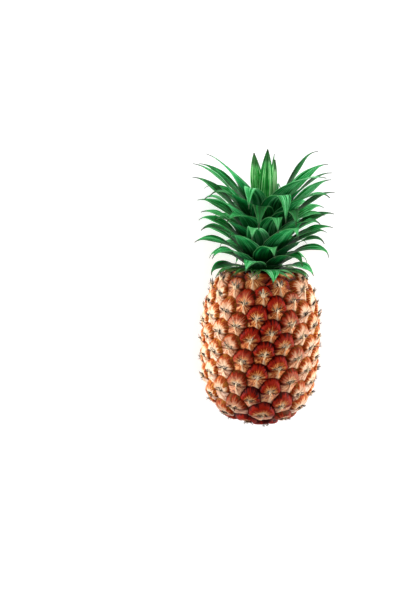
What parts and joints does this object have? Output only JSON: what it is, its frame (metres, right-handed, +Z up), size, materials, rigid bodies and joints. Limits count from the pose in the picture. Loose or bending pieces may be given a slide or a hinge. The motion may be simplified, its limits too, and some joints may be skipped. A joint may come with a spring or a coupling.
{
  "type": "pineapple fruit with crown",
  "caption": "Ripe pineapple lying on its side, cut from its plant: a barrel of domed eyes, a short cut stalk and a flared crown of pointed leaves.",
  "frame": {"origin": "on the floor, under the middle of the bounding box of the pineapple and its crown", "axes": "+Y runs along the fruit from the cut stalk to the tips of the crown, +Z is up, +X is to the right when the crown points away"},
  "size_m": [0.1434, 0.2778, 0.1255],
  "materials": {
    "rind": "orange-red domed eyes with pale papery lower halves, slightly glossy",
    "stalk": "dry cut fibres",
    "leaf": "dark green, waxy, with a pale bloom on the backs",
    "heart_leaf": "young light green leaves, striped lengthwise"
  },
  "bodies": {
    "root": {"fruit": "rind", "stalk_cut": "stalk", "crown_core": "leaf", "leaf_01": "leaf", "leaf_02": "leaf", "leaf_03": "leaf", "leaf_04": "leaf", "leaf_05": "leaf", "leaf_06": "leaf", "leaf_07": "leaf", "leaf_08": "leaf", "leaf_09": "leaf", "leaf_10": "leaf", "leaf_11": "leaf", "leaf_12": "leaf", "leaf_13": "leaf", "leaf_14": "leaf", "leaf_15": "leaf", "leaf_16": "leaf", "leaf_17": "leaf", "leaf_18": "leaf", "leaf_19": "leaf", "leaf_20": "leaf", "leaf_21": "leaf", "leaf_22": "leaf", "leaf_23": "leaf", "leaf_24": "leaf", "leaf_25": "leaf", "leaf_26": "leaf", "leaf_27": "leaf", "leaf_28": "leaf", "leaf_29": "leaf", "leaf_30": "leaf", "leaf_31": "leaf", "leaf_32": "leaf", "leaf_33": "leaf", "leaf_34": "leaf", "leaf_35": "leaf", "leaf_36": "leaf", "leaf_37": "leaf", "leaf_38": "leaf", "leaf_39": "leaf", "leaf_40": "leaf", "leaf_41": "leaf", "leaf_42": "leaf", "leaf_43": "leaf", "leaf_44": "leaf", "leaf_45": "leaf", "leaf_46": "leaf", "leaf_47": "leaf", "leaf_48": "leaf", "leaf_49": "leaf", "leaf_50": "leaf", "leaf_51": "leaf", "heart_01": "heart_leaf", "heart_02": "heart_leaf", "heart_03": "heart_leaf", "heart_04": "heart_leaf", "heart_05": "heart_leaf"}
  },
  "joints": []
}
